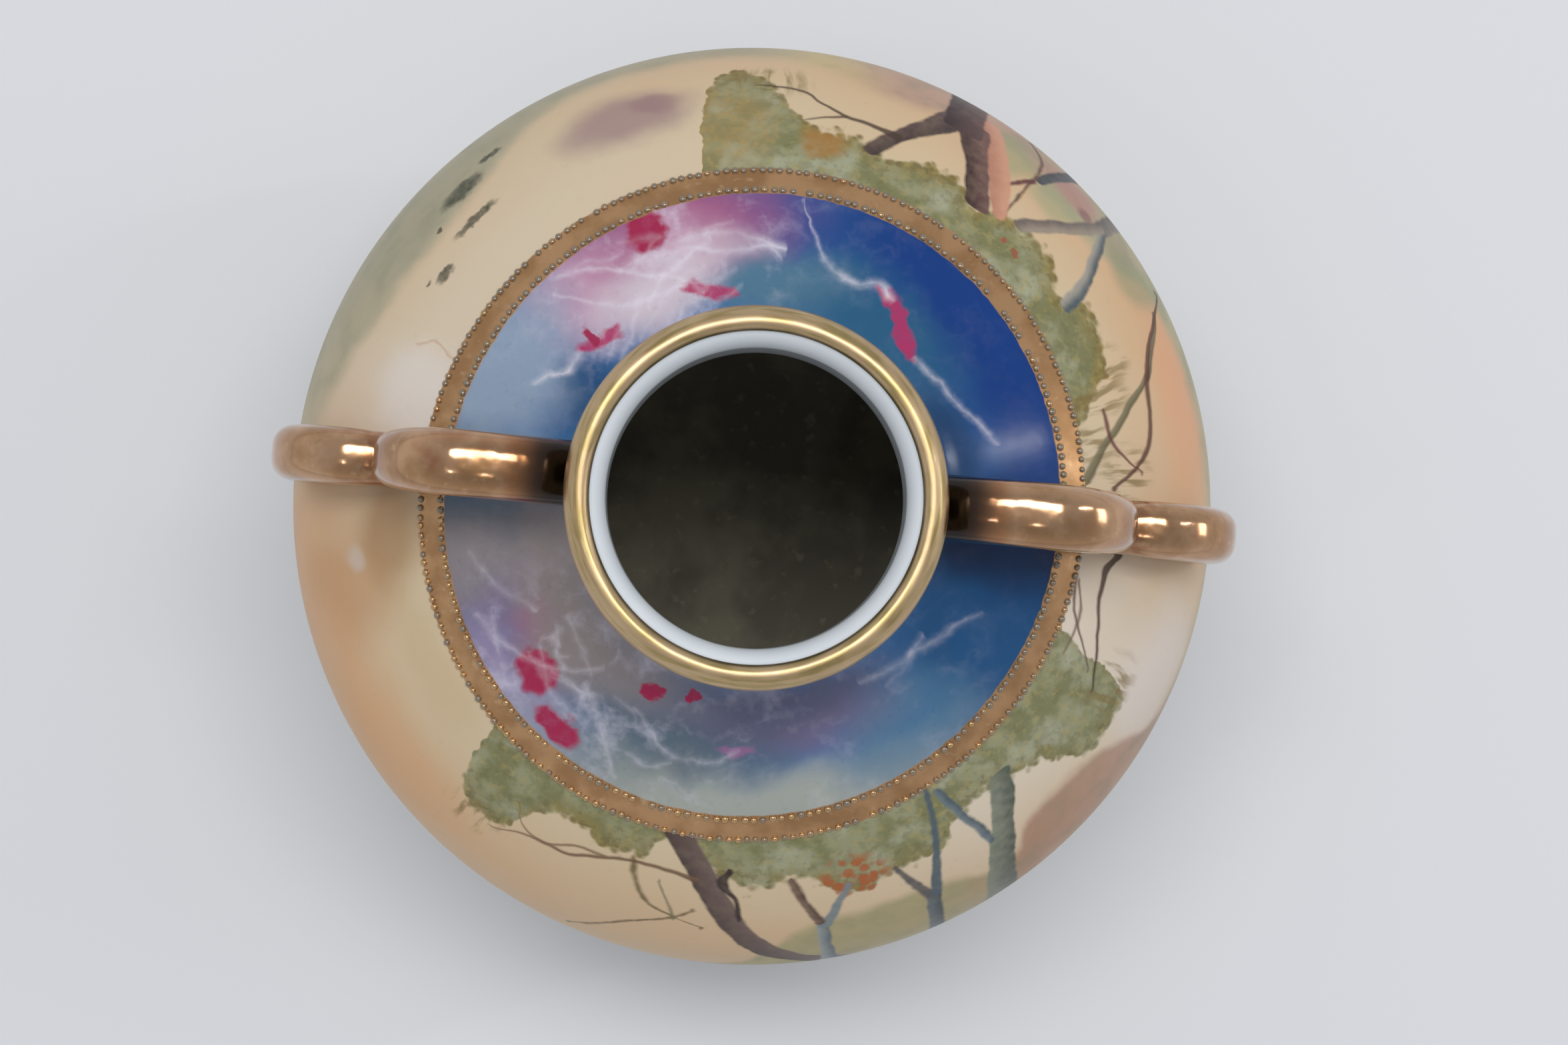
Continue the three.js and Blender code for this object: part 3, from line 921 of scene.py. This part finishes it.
# %% Foliage that hangs from the band
def foliage(paint, picture):
    """Leaves dabbed with the end of a brush. The cells give the scalloped edge, noise the leaves."""
    spot = paint.strayed(3, 1.2)
    turn, down = spot
    right = paint.curve(turn, canopy_depths)
    left = paint.curve(turn, canopy_depths_left)
    depth = right.math("MAXIMUM", right, left)
    dab = paint.cells(1.5)
    lump = paint.noise(4.5, detail=3)
    over = depth - down + (0.45 - dab) * 2.2 + (lump - 0.5) * 3
    rim = paint.fade(over, 4.5, 0.6)
    leaf = paint.noise(1.4, detail=3, roughness=0.6)
    other_leaf = paint.noise(1.3, detail=3, roughness=0.6)
    brown = rim * paint.curve(turn, [(0, 0.6), (25, 1), (75, 1), (100, 1), (220, 0.5), (250, 0.8),
                                     (268, 0.6), (300, 0.35), (335, 0.25), (360, 0.4)])
    ochre = paint.dab(spot, 79, 7.5, 3.4, 2.6, 0.8)
    straw = paint.dab(spot, 94, 10, 7, 8, 0.9)
    rust = paint.dab(spot, 284.5, 11.5, 5.5, 4, 0.6) * paint.fade(dab, 0.7, 0.4)
    tone = paint.layers("8e8f6e", ("757650", paint.fade(lump, 0.38, 0.6)),
                        ("a8aa92", paint.fade(paint.noise(6, detail=4), 0.5, 0.68) * 0.65),
                        ("8c7a40", brown * (0.35 + 0.65 * paint.fade(lump, 0.35, 0.6)) * 0.9),
                        ("5a5836", paint.fade(leaf, 0.5, 0.62) * (0.28 + 0.25 * rim)),
                        ("a1925a", paint.fade(other_leaf, 0.52, 0.66) * 0.45),
                        ("6e5a30", brown * paint.fade(dab, 0.55, 0.2) * 0.6),
                        ("a07034", ochre * (0.2 + leaf)),
                        ("a58a55", straw * leaf * other_leaf * 1.8),
                        ("a2562a", rust * (0.4 + leaf)))
    picture = paint.mix(picture, tone, paint.fade(over, -0.6, 0.8) * 0.95)
    return paint.dabbed(picture, spot, berries, 0.4)


def grasses(paint, picture):
    """Thin upright blades in a few tufts: noise that is long one way and narrow the other."""
    bent_turn, bent_down = paint.strayed(6, 0.9)
    sockets = {"X": bent_turn * 0.7, "Y": bent_down * 0.13}
    blade = paint.noise(1, detail=3, place=paint.node("ShaderNodeCombineXYZ", None, sockets))
    for turn, down, wide, tall in tufts:
        tuft = paint.dab((bent_turn, bent_down), turn, down, wide, tall, 1.0)
        picture = paint.mix(picture, "7d6a3c", tuft * paint.fade(blade, 0.45, 0.62) * 0.75)
    return picture


# %% Trees, branches and small dabs
def rounded(paint, lit, shaded, off, half):
    """The colour of a stroke that is lit on one side and shaded on the other."""
    return paint.mix(lit, shaded, paint.fade(off, -0.7 * half, 0.7 * half))


def trees(paint, picture):
    spot = paint.strayed(4, 0.45)
    grain = paint.noise(1.6, detail=3)
    for knots, lit, shaded in trunks:
        share, off = paint.stroke(spot, knots, soft=0.45, ragged=(grain - 0.5) * 0.4)
        half = max(knot[2] for knot in knots)
        tone = rounded(paint, lit, shaded, off + (grain - 0.5) * half * 0.5, half)
        picture = paint.mix(picture, tone, share * (0.8 + 0.3 * grain))
    for knots, lit, shaded in branches:
        share, off = paint.stroke(spot, knots, upright=False, soft=0.4)
        tone = rounded(paint, lit, shaded, off, max(knot[2] for knot in knots))
        picture = paint.mix(picture, tone, share * 0.9)
    return picture


def clouds_and_dabs(paint, picture):
    soft_spot = paint.strayed(7, 2.2)
    ragged = paint.strayed(1.2, 0.9, detail=4)
    patchy = paint.noise(0.9, detail=3)
    picture = paint.layers(picture, ("97797c", paint.dab(soft_spot, 108.5, 16, 9, 5, 1.0) * 0.75),
                           ("8f6f70", paint.dab(soft_spot, 104, 17.5, 3.5, 2.2, 0.9) * 0.5))
    for turn, down, wide, tall in dark_dabs:
        mark = paint.dab(ragged, turn, down, wide, tall, 0.7)
        picture = paint.mix(picture, "3f4234", mark * (0.5 + 0.6 * patchy))
    crack, _ = paint.stroke(paint.strayed(3, 1.2), [(2.3, 154.2, 0.12), (6, 153.4, 0.14), (9, 155, 0.1)],
                            soft=0.5)
    return paint.mix(picture, "b98a5c", crack * 0.6)


# %% The landscape, layer by layer
foot_line_down = band_walk - zone_ends[0] - 13.4


def landscape():
    paint = Painting("landscape")
    picture = sky_and_hills(paint)
    picture, foot_line = lower_ground(paint, picture)
    picture = clouds_and_dabs(paint, picture)
    picture = foliage(paint, picture)
    picture = grasses(paint, picture)
    picture = trees(paint, picture)
    brushed = paint.noise(1.1, detail=4)
    picture = paint.mix(picture, "8c7a60", paint.fade(brushed, 0.6, 0.85) * 0.12)
    gilt = paint.gild(picture, 0.36 + 0.1 * brushed, 0.14, foot_line)
    paint.bump(brushed * 0.4 + gilt * 1.5, 0.05, 0.5)
    return paint.material


# %% [markdown]
# ## The marbling
# The shoulder was painted wet: blues, lilac and rose ran into each other, crimson was dropped in,
# and fine light veins were wiped out of the wet colour. So the recipe goes the same way. Each wash
# is a wide soft dab of one pigment, strayed by noise, save three dark dabs by the handles that are
# painted shade. A milky veil lies over them, and then come crimson dabs and veins as ragged strokes.

# %% Veins and crimson of the marbling
# The turn, the way down from the band, which is negative here, and half the width.
veins = [
    [(14, -11, 0.1), (25, -14, 0.22), (34, -15.6, 0.22), (42, -16, 0.3)],
    [(55, -12.2, 0.2), (60, -11.2, 0.7), (65, -12.4, 0.4), (70, -12, 0.35), (74, -10.6, 0.35),
     (77, -8.2, 0.4), (79.5, -5, 0.3), (80.5, -2.5, 0.1)],
    [(83, -10.2, 0.7), (88, -10, 0.35), (95, -10.6, 0.25), (103, -9.2, 0.25), (112, -8.8, 0.2)],
    [(84, -11.6, 0.2), (90, -8.8, 0.2), (98, -7.6, 0.2), (107, -7.4, 0.15)],
    [(100, -8.4, 0.2), (106, -10.4, 0.3), (112, -11.8, 0.3), (119, -14.6, 0.25)],
    [(104, -15.6, 0.2), (110, -12.4, 0.35), (116, -10.2, 0.3), (124, -6, 0.2), (131, -3, 0.1)],
    [(108, -14, 0.3), (116, -13.6, 0.35), (124, -12.4, 0.25), (130, -9, 0.2), (134, -5, 0.1)],
    [(139, -13.6, 0.25), (144, -13.6, 0.55), (148, -12, 0.4), (152, -10.6, 0.3)],
    [(190, -5.5, 0.1), (197, -8, 0.2), (206, -12.5, 0.2)],
    [(202, -4, 0.15), (210, -6.4, 0.3), (217, -9, 0.35), (222, -11.6, 0.25), (228, -15.5, 0.15)],
    [(213, -11, 0.25), (219, -9, 0.3), (226, -7.6, 0.3), (233, -8.6, 0.2)],
    [(227, -12, 0.2), (233, -10, 0.3), (238, -7, 0.3), (243, -3.4, 0.15)],
    [(240, -13.5, 0.2), (246, -11.6, 0.3), (252, -9.6, 0.3), (258, -9.4, 0.25), (266, -11.6, 0.2)],
    [(300, -16.8, 0.2), (310, -15.4, 0.4), (318, -14.4, 0.45), (326, -12.8, 0.3), (334, -9.6, 0.12)],
    [(306, -13.8, 0.1), (314, -14.6, 0.3), (321, -15.6, 0.3)],
]
crimson_streaks = [
    [(41, -16.2, 0.1), (45, -15.8, 0.9), (49, -14.8, 1.5), (52.5, -12.8, 1.2), (57, -11.8, 0.8),
     (60, -11.4, 0.2)],
    [(95.5, -16.8, 0.1), (100, -16.2, 1.0), (105, -15, 0.9), (109.5, -14, 0.1)],
    [(127, -14.6, 0.2), (131, -14.8, 1.0), (136, -14, 0.9), (140, -12.8, 0.1)],
]
crimson_dabs = [(112, -4.6, 3.9, 2.9), (135, -13, 1.2, 1.6), (218, -8.2, 5.0, 3.0),
                (228.5, -4.6, 5, 2.1), (241.5, -17, 3, 1.1), (253, -18.4, 2.4, 0.7)]
pigments = {"cobalt": "04347a", "steel": "134672", "navy": "0c2248", "teal": "275b7c",
            "sea_grey": "557a8e", "violet": "484a88", "rose": "a0587e", "blush": "c79fb4",
            "lilac": "a396b2", "mist": "9dabbb", "mauve": "7a6a88", "ash": "8c817e", "slate": "54626d",
            "celadon": "a2a59b", "dusk": "5f5b70", "milk": "d2c6cc"}
# The slate at 181 degrees and the ash at 194 are painted shade under the left handle, and the navy at 349
# is painted shade under the right handle.
washes_and_shadows = [("cobalt", 36, -4, 50, 11, 0.95), ("teal", 58, -16, 30, 6, 0.9),
          ("sea_grey", 88, -15, 17, 5, 0.8), ("navy", 17, -18, 16, 4, 0.6),
          ("navy", 349, -9, 15, 20, 0.95), ("steel", 328, -8, 16, 14, 0.8),
          ("violet", 82, -3, 8, 6, 0.6), ("rose", 105, -5, 19, 7, 0.95),
          ("blush", 116, -10, 20, 7, 0.85), ("rose", 121, -5, 10, 5, 0.6),
          ("blush", 131, -7, 9, 7, 0.6), ("milk", 115, -14, 16, 5, 0.8),
          ("milk", 100, -9.5, 12, 2.5, 0.4), ("steel", 146, -17, 11, 5, 0.8),
          ("mist", 153, -5, 18, 9, 0.75), ("slate", 181, -9, 13, 16, 0.85),
          ("ash", 194, -8, 11, 14, 0.85), ("mauve", 210, -9, 15, 8, 0.8),
          ("ash", 208, -15.5, 20, 5, 0.85), ("rose", 209, -12, 6, 3, 0.4),
          ("lilac", 219, -3.5, 14, 5, 0.6), ("ash", 226, -14, 16, 6, 0.7),
          ("slate", 247, -9, 15, 7, 0.85), ("celadon", 268, -1.5, 38, 6.5, 0.95),
          ("slate", 262, -11, 18, 4, 0.7), ("dusk", 276, -16.5, 28, 5, 0.85),
          ("mauve", 292, -12, 14, 3.5, 0.5), ("sea_grey", 304, -8, 14, 7, 0.5),
          ("ash", 217, -20, 36, 7, 0.85)]
bright_veins = 8
crimson_marks = len(crimson_streaks) + len(crimson_dabs)
print(len(washes_and_shadows), "washes,", len(veins), "veins,", crimson_marks, "crimson marks")


# %% Hairs wiped out between the veins
def hair(first_turn, last_turn):
    """A hair-thin stroke that starts somewhere between two turns and leans at random."""
    turn, down = generator.uniform(first_turn, last_turn), generator.uniform(-16, -5)
    run, lean = generator.uniform(2.5, 5.5), generator.uniform(-0.45, 0.45)
    return [(turn + step * run, down + step * run * lean + generator.uniform(-0.8, 0.8), width)
            for step, width in enumerate((0.02, 0.12, 0.16, 0.02))]


hairs = [hair(90, 138) for _ in range(13)] + [hair(196, 250) for _ in range(9)]
print(len(hairs), "hairs")


# %% Broad colours and painted handle shade
def clouded_colours(paint):
    marks = [(pigments[pigment], *mark) for pigment, *mark in washes_and_shadows]
    return paint.dabbed("38689a", paint.strayed(10, 4.5, detail=3), marks, 1.2)


def veil(paint, picture):
    """Thin milky clouds with torn edges, where the wet colour was dabbed off again."""
    cloud = paint.noise(7, detail=6, roughness=0.62)
    thin = abs(paint.noise(6, detail=4) - 0.5)
    much = paint.curve(paint.turn, [(0, 0.03), (40, 0.06), (76, 0.15), (92, 0.8), (120, 0.95), (140, 0.4),
                                    (160, 0.12), (188, 0.08), (204, 0.55), (222, 0.7), (250, 0.5),
                                    (285, 0.3), (315, 0.2), (332, 0.05), (360, 0.03)])
    torn = paint.fade(thin, 0.06, 0) * paint.fade(cloud, 0.42, 0.56)
    return paint.mix(picture, "d9d2e0", (paint.fade(cloud, 0.5, 0.75) * 0.5 + torn * 0.2) * much)


# %% The marbling, layer by layer
def marbling():
    paint = Painting("marbling")
    picture = veil(paint, clouded_colours(paint))
    torn = paint.strayed(2.3, 1.6, detail=4)
    dense = 0.7 + 0.4 * paint.noise(1.4, detail=3)
    for knots in crimson_streaks:
        share, _ = paint.stroke(torn, knots, upright=False, soft=0.8)
        picture = paint.mix(picture, "b02f60", share * dense)
    for turn, down, wide, tall in crimson_dabs:
        share = paint.dab(torn, turn, down, wide, tall, 0.5)
        picture = paint.mix(picture, "a0234b", share * (dense + 0.1))
    picture = paint.mix(picture, "94608c", paint.dab(torn, 266, -11.8, 4, 0.8, 0.9) * 0.7)
    fine = paint.strayed(3.2, 0.9, detail=3)
    feather = (paint.noise(1.1, detail=4) - 0.5) * 0.7
    patchy = 0.55 + 0.75 * paint.fade(paint.noise(4, detail=2), 0.3, 0.62)
    for number, knots in enumerate(veins + hairs):
        strength = 0.85 if number < bright_veins else 0.45
        share, _ = paint.stroke(fine, knots, upright=False, soft=1.8, ragged=feather)
        picture = paint.mix(picture, "e4dfe8", share ** 2 * patchy * strength)
    brushed = paint.noise(0.9, detail=3)
    picture = paint.mix(picture, "24365a", paint.fade(brushed, 0.55, 0.85) * 0.15)
    gilt = paint.gild(picture, 0.12 + 0.08 * brushed, 0.3)
    paint.bump(gilt * 1.5 + brushed * 0.2, 0.05, 0.5)
    return paint.material


# %% Dress the pieces
def dress(piece, *materials):
    for material in materials:
        piece.data.materials.append(material)


dress(body, bare_bisque(), landscape(), marbling(), gilded_lip(), white_glaze(), darker_cavity())
gold = gilded_handles()
for piece in handles:
    dress(piece, gold)
enamel = enamel_beads()
for piece in beads:
    dress(piece, enamel)

for piece, slot in [(body, "painted_porcelain"), *((p, "gilding") for p in handles),
                    *((p, "enamel_beads") for p in beads)]:
    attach(piece, "root")
for piece in (body, *handles):
    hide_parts("vase")
print("dressed", 1 + len(handles) + len(beads), "pieces")

# %% [markdown]
# ## Stage, camera and light
# The vase stands on a plain pale floor and is seen from straight above its mouth. A wide lamp
# hangs high above with two small panes beside it, and a low window and a narrow one stand on the
# right. The sky is brighter low down than overhead, so the gold shows brown with bright streaks.

# %% Floor
floor_half = 1500
shape = bmesh.new()
bmesh.ops.create_grid(shape, x_segments=1, y_segments=1, size=floor_half)
floor = finished(shape, "floor")
floor_paint = Recipe("pale_floor")
floor_paint.set(base_color="dcdde0", roughness=0.6)
dress(floor, floor_paint.material)

# %% Camera
camera = bpy.data.objects.new("camera", bpy.data.cameras.new("camera"))
bpy.context.scene.collection.objects.link(camera)
camera.data.lens = 74.08
camera.data.sensor_width = 36
camera.location = Vector((-2.794, -8.174, 519.153)) * MM
camera.rotation_euler = [math.radians(angle) for angle in (0.689, -0.995, 5.197)]
camera.data.clip_start = 0.01
bpy.context.scene.camera = camera
bpy.context.scene.view_settings.view_transform = "Standard"
print("camera is", round(camera.location.z / MM), "mm above the floor")


# %% Lights
aim_height = 90
sky_strength = 0.83
sky_lean = (-0.06, 0, -0.36)  # how much stronger the sky is towards each axis


def window(name, place, width, height, power):
    light = bpy.data.objects.new(name, bpy.data.lights.new(name, "AREA"))
    bpy.context.scene.collection.objects.link(light)
    light.data.shape = "RECTANGLE"
    light.data.size = width * MM
    light.data.size_y = height * MM
    light.data.energy = power
    light.location = Vector(place) * MM
    aim = Vector((0, 0, aim_height)) * MM - light.location
    light.rotation_euler = aim.to_track_quat("-Z", "Y").to_euler()


window("ceiling_lamp", (0, 330, 1500), 1200, 340, 10.5)
window("pane_front_right", (90, -250, 1500), 90, 90, 0.3)
window("pane_front_left", (-600, -250, 1500), 90, 90, 0.3)
window("window_right", (1100, 170, 440), 320, 220, 0.9)
window("narrow_window", (970, 330, 900), 30, 330, 0.7)

world = bpy.data.worlds.new("studio")
world.use_nodes = True
bpy.context.scene.world = world
sky = world.node_tree
ray = sky.nodes.new("ShaderNodeTexCoord")
slope = sky.nodes.new("ShaderNodeVectorMath")
slope.operation = "DOT_PRODUCT"
slope.inputs[1].default_value = sky_lean
shade = sky.nodes.new("ShaderNodeMath")
shade.inputs[1].default_value = sky_strength
sky.links.new(ray.outputs["Generated"], slope.inputs[0])
sky.links.new(slope.outputs["Value"], shade.inputs[0])
sky.links.new(shade.outputs[0], sky.nodes["Background"].inputs["Strength"])
sky.nodes["Background"].inputs["Color"].default_value = (0.8, 0.83, 0.88, 1)
print("a ceiling lamp, two panes, two windows and a dim sky")
